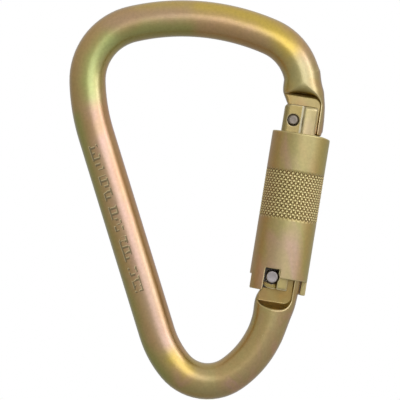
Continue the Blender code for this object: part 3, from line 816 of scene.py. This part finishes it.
# The bar's colour zones, partly the chromate's own tones and partly painted highlights and reflections: the yellow,
# leaf, pink and pale zones lie where the highlights fall. Each row: tone, share, reach in mm, and the line of (x, z)
# places it follows.
FILM_AND_HIGHLIGHTS = (
    (BROWN, 0.85, 4.5, ((-20, 9), (-31, 1), (-36, -10), (-34, -24))),
    (MAUVE, 0.8, 3.5, ((-24, 4), (-12, 7), (0, 8), (16, 5), (27, -1))),
    (BROWN, 0.85, 3.2, ((4, 2), (14, 2), (24, -3), (31, -10))),
    (YELLOW_HIGHLIGHT, 0.6, 2.5, ((-14, 11.5), (0, 11.5))),
    (YELLOW_HIGHLIGHT, 1.0, 3.6, ((6, 11), (15, 9.5), (24, 6.5), (31, 2), (36, -4))),
    (PALE_HIGHLIGHT, 0.85, 4.0, ((39.5, -10), (40, -16), (42.5, -21), (45, -27))),
    (OLIVE, 0.85, 2.8, ((2, 2), (-12, 2), (-23, -2))),
    (LEAF_HIGHLIGHT, 0.95, 3.2, ((-24, -2), (-29, -8), (-30.5, -15), (-29.5, -20))),
    (PINK_HIGHLIGHT, 0.45, 4.5, ((-29, -25), (-26.5, -35))),
    (BROWN, 0.7, 2.5, ((-31.5, -29), (-28.5, -41), (-23.5, -59), (-18, -75), (-12.5, -93), (-8.5, -102))),
    (OLIVE, 0.85, 2.2, ((-35, -27), (-31, -45), (-23, -73), (-13, -103), (-6, -113))),
    (PINK_HIGHLIGHT, 0.8, 2.8, ((-26.5, -35), (-25, -40), (-20, -58), (-14.5, -74), (-9, -92), (-5, -101))),
    (BROWN, 0.85, 2.0, ((-25.2, -24), (-18.2, -49), (-8.2, -79), (-4.6, -92), (-0.8, -100))),
    (YELLOW_HIGHLIGHT, 0.8, 2.6, ((-3, -106), (2, -110))),
    (BROWN, 0.7, 3.2, ((13, -107), (20, -98))),
)
# Painted reflection tint by which way the sleeve faces, left to right: rust on the left edge, olive-gold on the right.
SLEEVE_PAINTED_REFLECTION_TINT = (
    (0.05, (1.0, 0.78, 0.58)), (0.4, (1.0, 0.98, 1.0)), (0.7, (1.0, 1.0, 1.06)), (0.86, (1.0, 0.90, 0.68)),
    (0.97, (0.94, 0.93, 0.52)),
)
# Painted shade: darkening by the stored painted shade value, down to near black in the recess by the hinge rivet.
PAINTED_SHADE_RAMP = (
    (0.0, (1.0, 1.0, 1.0)), (0.35, (0.74, 0.66, 0.42)), (0.8, (0.40, 0.29, 0.05)), (1.0, (0.05, 0.04, 0.03)),
)


def nodes_of(material):
    material.use_nodes = True
    tree = material.node_tree
    return tree, tree.nodes["Principled BSDF"]


def noise(tree, place, scale, detail=3.0, rough=0.55, distortion=0.0):
    node = tree.nodes.new("ShaderNodeTexNoise")
    node.inputs["Scale"].default_value = scale
    node.inputs["Detail"].default_value = detail
    node.inputs["Roughness"].default_value = rough
    node.inputs["Distortion"].default_value = distortion
    tree.links.new(place, node.inputs["Vector"])
    return node.outputs["Fac"]


def ramp(tree, value, stops):
    node = tree.nodes.new("ShaderNodeValToRGB")
    elements = node.color_ramp.elements
    while len(elements) < len(stops):
        elements.new(0.5)
    for element, (at, color) in zip(elements, stops):
        element.position = at
        element.color = (*color, 1.0)
    tree.links.new(value, node.inputs["Fac"])
    return node.outputs["Color"]


def mix(tree, kind, share, a, b):
    node = tree.nodes.new("ShaderNodeMix")
    node.data_type = "RGBA"
    node.blend_type = kind
    for socket, value in ((node.inputs[0], share), (node.inputs[6], a), (node.inputs[7], b)):
        if isinstance(value, bpy.types.NodeSocket):
            tree.links.new(value, socket)
        elif isinstance(value, float):
            socket.default_value = value
        else:
            socket.default_value = (*value, 1.0)
    return node.outputs[2]


def span(tree, value, low, high):
    node = tree.nodes.new("ShaderNodeMapRange")
    node.inputs["To Min"].default_value = low
    node.inputs["To Max"].default_value = high
    tree.links.new(value, node.inputs["Value"])
    return node.outputs["Result"]


def maths(tree, kind, a, b):
    node = tree.nodes.new("ShaderNodeMath")
    node.operation = kind
    for socket, value in zip(node.inputs, (a, b)):
        if isinstance(value, bpy.types.NodeSocket):
            tree.links.new(value, socket)
        else:
            socket.default_value = value
    return node.outputs[0]


def along(tree, place, direction):
    """How far a place lies along a direction."""
    node = tree.nodes.new("ShaderNodeVectorMath")
    node.operation = "DOT_PRODUCT"
    tree.links.new(place, node.inputs[0])
    node.inputs[1].default_value = direction
    return node.outputs["Value"]


def stamped(tree, place):
    """Mask of a row of short strokes stamped along the front of the spine: no letters, only marks."""
    start, end = (Vector((x, 0, z)) * MM for x, z in STAMP_ROW)
    heading = (end - start).normalized()
    across = Vector((0, 1, 0)).cross(heading)
    run = maths(tree, "SUBTRACT", along(tree, place, heading), start.dot(heading))
    side = maths(tree, "SUBTRACT", along(tree, place, across), start.dot(across))
    cells = tree.nodes.new("ShaderNodeCombineXYZ")
    tree.links.new(maths(tree, "DIVIDE", run, STAMP_CELL[0] * MM), cells.inputs[0])
    tree.links.new(maths(tree, "DIVIDE", maths(tree, "ADD", side, STAMP_HALF * MM), STAMP_CELL[1] * MM), cells.inputs[1])
    strokes = tree.nodes.new("ShaderNodeTexBrick")
    strokes.offset = 0.45
    for key, value in (("Scale", 1.0), ("Mortar Size", 0.19), ("Mortar Smooth", 0.2), ("Brick Width", 1.0), ("Row Height", 1.0)):
        strokes.inputs[key].default_value = value
    tree.links.new(cells.outputs[0], strokes.inputs["Vector"])
    inside = maths(tree, "LESS_THAN", maths(tree, "ABSOLUTE", side, 0.0), STAMP_HALF * MM)
    words = maths(tree, "GREATER_THAN", maths(tree, "FRACT", maths(tree, "DIVIDE", run, STAMP_WORD * MM), 0.0), 0.2)
    reach = maths(tree, "LESS_THAN", maths(tree, "ABSOLUTE", maths(tree, "SUBTRACT", run, (end - start).length / 2), 0.0),
                  (end - start).length / 2)
    front = maths(tree, "LESS_THAN", along(tree, place, (0, 1, 0)), 0.0)
    mask = maths(tree, "MULTIPLY", strokes.outputs["Fac"],
                 maths(tree, "GREATER_THAN", noise(tree, place, 520.0, 0.0), STAMP_WEAR))
    for part in (inside, words, reach, front):
        mask = maths(tree, "MULTIPLY", mask, part)
    return mask


def chromate(name, stops, bare_and_highlight, roughness, coat_roughness, sides=PAINTED_EDGE_ON_SHADE, reflection_tint=BAR_PAINTED_REFLECTION_TINT, stretch=1.0, stamp=False):
    """Zinc plating under a yellow chromate layer: clouds of colour, zone colours with painted highlights, painted shade
    and reflection tints by which way a surface faces, edges paler from wear and painted highlight, and painted shade in
    recesses and grooves.
    """
    material = bpy.data.materials.new(name)
    tree, shader = nodes_of(material)
    place = tree.nodes.new("ShaderNodeTexCoord").outputs["Object"]
    drawn_out = tree.nodes.new("ShaderNodeMapping")
    drawn_out.inputs["Scale"].default_value = (1.0, 1.0, stretch)
    tree.links.new(place, drawn_out.inputs["Vector"])
    clouds = ramp(tree, noise(tree, drawn_out.outputs["Vector"], 75.0, 2.5, 0.5, 0.5), stops)
    if stamp:
        # Zone colours: chromate tones and painted highlights.
        film_and_highlights = tree.nodes.new("ShaderNodeAttribute")
        film_and_highlights.attribute_name = "film_and_highlights"
        clouds = mix(tree, "MIX", film_and_highlights.outputs["Alpha"], clouds, film_and_highlights.outputs["Color"])
    speckle = ramp(tree, noise(tree, place, 1100.0, 4.0, 0.6), SPECKLE)
    color = mix(tree, "MULTIPLY", 1.0, clouds, speckle)
    # Painted shade by how far a surface faces front or back.
    color = mix(tree, "MULTIPLY", 1.0, color, ramp(tree, stored(tree, "facing"), sides))
    # Painted reflection tint by which way a surface faces, left or right.
    color = mix(tree, "MULTIPLY", 1.0, color, ramp(tree, stored(tree, "side"), reflection_tint))
    # Painted shade from the stored values: darker in recesses, knurl grooves and flats.
    color = mix(tree, "MULTIPLY", 1.0, color, ramp(tree, stored(tree, "painted_shade"), PAINTED_SHADE_RAMP))
    # Paler towards bare metal on sharp edges, partly wear and partly painted highlight, and wherever painted highlights
    # are stored.
    wear_and_highlight = span(tree, stored(tree, "edge"), 0.0, 0.55)
    wear_and_highlight = maths(tree, "ADD", wear_and_highlight, stored(tree, "painted_highlight"))
    color = mix(tree, "MIX", wear_and_highlight, color, bare_and_highlight)
    if stamp:
        # A painted highlight rim: the strokes again, shifted and in the pale tone.
        highlight_rim_place = tree.nodes.new("ShaderNodeVectorMath")
        tree.links.new(place, highlight_rim_place.inputs[0])
        highlight_rim_place.inputs[1].default_value = Vector(STAMP_HIGHLIGHT_SHIFT) * MM
        for spot, tone in ((highlight_rim_place.outputs["Vector"], bare_and_highlight), (place, (0.14, 0.10, 0.04))):
            color = mix(tree, "MIX", maths(tree, "MULTIPLY", stamped(tree, spot), STAMP_SHADE), color, tone)
    tree.links.new(color, shader.inputs["Base Color"])
    shader.inputs["Metallic"].default_value = 1.0
    tree.links.new(span(tree, noise(tree, place, 420.0, 4.0, 0.6), *roughness), shader.inputs["Roughness"])
    shader.inputs["Coat Weight"].default_value = 1.0
    shader.inputs["Coat Roughness"].default_value = coat_roughness
    shader.inputs["Coat IOR"].default_value = 1.5
    bump = tree.nodes.new("ShaderNodeBump")
    bump.inputs["Strength"].default_value = 0.2
    bump.inputs["Distance"].default_value = 0.00005
    tree.links.new(noise(tree, place, 1600.0, 3.0, 0.6), bump.inputs["Height"])
    tree.links.new(bump.outputs["Normal"], shader.inputs["Normal"])
    return material


def stored(tree, name):
    """Value of an attribute that the mesh holds."""
    node = tree.nodes.new("ShaderNodeAttribute")
    node.attribute_name = name
    return node.outputs["Fac"]


def bright_steel(name, tone, roughness, turned_marks=False):
    """Zinc-plated or plain steel with a fine machined grain."""
    material = bpy.data.materials.new(name)
    tree, shader = nodes_of(material)
    place = tree.nodes.new("ShaderNodeTexCoord").outputs["Object"]
    dark = tuple(value * 0.78 for value in tone)
    tree.links.new(ramp(tree, noise(tree, place, 500.0, 4.0, 0.6), ((0.3, dark), (0.7, tone))),
                   shader.inputs["Base Color"])
    shader.inputs["Metallic"].default_value = 1.0
    tree.links.new(span(tree, noise(tree, place, 900.0), *roughness), shader.inputs["Roughness"])
    bump = tree.nodes.new("ShaderNodeBump")
    bump.inputs["Strength"].default_value = 0.3
    bump.inputs["Distance"].default_value = 0.00004
    tree.links.new(noise(tree, place, 2400.0, 2.0), bump.inputs["Height"])
    tree.links.new(bump.outputs["Normal"], shader.inputs["Normal"])
    return material


# Studio -----------------------------------------------------------------------------------------


def make_floor():
    mesh = make_mesh("floor", [(-3, -3, -0.45), (3, -3, -0.45), (3, 3, -0.45), (-3, 3, -0.45)], [(0, 1, 2, 3)])
    floor = bpy.data.objects.new("floor", mesh)
    bpy.context.scene.collection.objects.link(floor)
    material = bpy.data.materials.new("pale_floor")
    shader = nodes_of(material)[1]
    shader.inputs["Base Color"].default_value = (0.9, 0.9, 0.9, 1.0)
    shader.inputs["Roughness"].default_value = 0.9
    shader.inputs["Emission Color"].default_value = (1.0, 1.0, 1.0, 1.0)
    shader.inputs["Emission Strength"].default_value = 1.0
    mesh.materials.append(material)
    floor.visible_glossy = False
    floor.visible_diffuse = False


def make_world():
    """White behind the object, and a soft grey surround for what the metal reflects."""
    world = bpy.data.worlds.new("studio")
    bpy.context.scene.world = world
    world.use_nodes = True
    tree = world.node_tree
    tree.nodes.clear()
    surround, backdrop = (tree.nodes.new("ShaderNodeBackground") for _ in range(2))
    way = tree.nodes.new("ShaderNodeTexCoord")
    level = maths(tree, "ADD", along(tree, way.outputs["Generated"], LEVEL_SLOPE), MIDDLE_LEVEL)
    tree.links.new(level, surround.inputs["Strength"])
    surround.inputs["Color"].default_value = (1.0, 1.0, 1.0, 1.0)
    backdrop.inputs["Color"].default_value = (1.0, 1.0, 1.0, 1.0)
    backdrop.inputs["Strength"].default_value = 1.0
    choose = tree.nodes.new("ShaderNodeMixShader")
    rays = tree.nodes.new("ShaderNodeLightPath")
    out = tree.nodes.new("ShaderNodeOutputWorld")
    tree.links.new(rays.outputs["Is Camera Ray"], choose.inputs[0])
    tree.links.new(surround.outputs[0], choose.inputs[1])
    tree.links.new(backdrop.outputs[0], choose.inputs[2])
    tree.links.new(choose.outputs[0], out.inputs["Surface"])


def far_off(azimuth, elevation):
    """A distant place, in mm, from its angles at the middle of the picture."""
    turn, rise = radians(azimuth), radians(elevation)
    away = Vector((sin(turn) * cos(rise), -cos(turn) * cos(rise), sin(rise)))
    return away * FAR_LIGHT + Vector((VIEW_X, 0, VIEW_Z))


def add_light(name, place, width, height, level):
    """Soft rectangular light facing the object; places and sizes in mm."""
    lamp = bpy.data.lights.new(name, "AREA")
    lamp.shape, lamp.size, lamp.size_y = "RECTANGLE", width * MM, height * MM
    lamp.energy = level * pi * lamp.size * lamp.size_y
    lamp.color = LIGHT_COLOR
    light = bpy.data.objects.new(name, lamp)
    light.location = Vector(place) * MM
    light.rotation_mode = "QUATERNION"
    light.rotation_quaternion = (Vector(place) - Vector((VIEW_X, 0, VIEW_Z))).to_track_quat("Z", "Y")
    light.visible_camera = False
    bpy.context.scene.collection.objects.link(light)


def make_camera():
    """Camera square to the front, far off, framing the object as tall as the picture."""
    lens = bpy.data.cameras.new("camera")
    lens.lens, lens.sensor_width = 250.0, 36.0
    camera = bpy.data.objects.new("camera", lens)
    camera.location = (VIEW_X * MM, -VIEW_WIDTH * MM * lens.lens / lens.sensor_width, VIEW_Z * MM)
    camera.rotation_euler = (pi / 2, 0, 0)
    bpy.context.scene.collection.objects.link(camera)
    bpy.context.scene.camera = camera


def build():
    gold, tan, rose = (0.50, 0.34, 0.10), (0.48, 0.34, 0.13), (0.55, 0.34, 0.19)
    lime, rust = (0.47, 0.37, 0.14), (0.50, 0.29, 0.11)
    clouds = ((0.26, rust), (0.36, gold), (0.44, lime), (0.52, tan), (0.60, rose), (0.70, gold))
    bar = chromate("chromated_bar", clouds, (0.86, 0.72, 0.38), (0.30, 0.38), 0.22, stretch=0.7, stamp=True)
    warm = ((0.28, (0.52, 0.32, 0.11)), (0.40, (0.52, 0.39, 0.15)), (0.50, (0.49, 0.42, 0.15)), (0.60, (0.58, 0.40, 0.25)),
            (0.72, (0.52, 0.37, 0.13)))
    shell = chromate("chromated_sleeve", warm, (1.0, 0.88, 0.42), (0.44, 0.54), 0.40, SLEEVE_PAINTED_EDGE_ON_SHADE, SLEEVE_PAINTED_REFLECTION_TINT, 0.4)
    pale = chromate("chromated_gate", ((0.3, (0.46, 0.37, 0.12)), (0.5, (0.50, 0.41, 0.17)), (0.7, (0.54, 0.41, 0.20))),
                    (0.95, 0.86, 0.60), (0.30, 0.42), 0.25)
    plain = bright_steel("plain_steel", (0.52, 0.50, 0.47), (0.25, 0.42))
    face = bright_steel("turned_steel", (0.28, 0.24, 0.19), (0.30, 0.42))
    head = bright_steel("rivet_steel", (0.44, 0.40, 0.38), (0.30, 0.42))
    spring = bright_steel("spring_steel", (0.38, 0.38, 0.39), (0.28, 0.40))
    make_frame(bar)
    make_gate(pale)
    make_sleeve(shell)
    make_pin("hinge_rivet_turned", "hinge_rivet", HINGE_RIVET_RADIUS, HINGE_RIVET_HALF, -AXIS_OFFSET, 0.0,
             0.3, 0.04, HINGE_RIVET_RADIUS + CLEARANCE - 0.02, head)
    make_pin("latch_pin_turned", "latch_pin", LATCH_PIN_RADIUS, LATCH_PIN_HALF, LATCH_U, LATCH_W, 0.6, 0.02, LATCH_PIN_RADIUS + CLEARANCE - 0.02, face)
    make_plunger(plain)
    for name in ("guide_pin_outer", "guide_pin_inner", "bush_half_front", "bush_half_back"):
        frame["nodes"][name].data.materials.clear()
        frame["nodes"][name].data.materials.append(plain)
    make_spring("sleeve_spring_coil", "sleeve_spring", SLEEVE_SPRING, spring)
    make_spring("return_spring_coil", "return_spring", RETURN_SPRING, spring)
    for name in ("retaining_ring_lower", "retaining_ring_upper"):
        frame["nodes"][name].data.materials.clear()
        frame["nodes"][name].data.materials.append(spring)


build()
make_floor()
make_world()
make_camera()
add_light("right_panel", far_off(38, 16), 1100, 420, 1.05)
add_light("right_strip", far_off(60, 18), 150, 380, 1.8)
add_light("near_panel", (60, -150, -10), 80, 80, 0.45)
bpy.context.scene.view_settings.view_transform = "Standard"
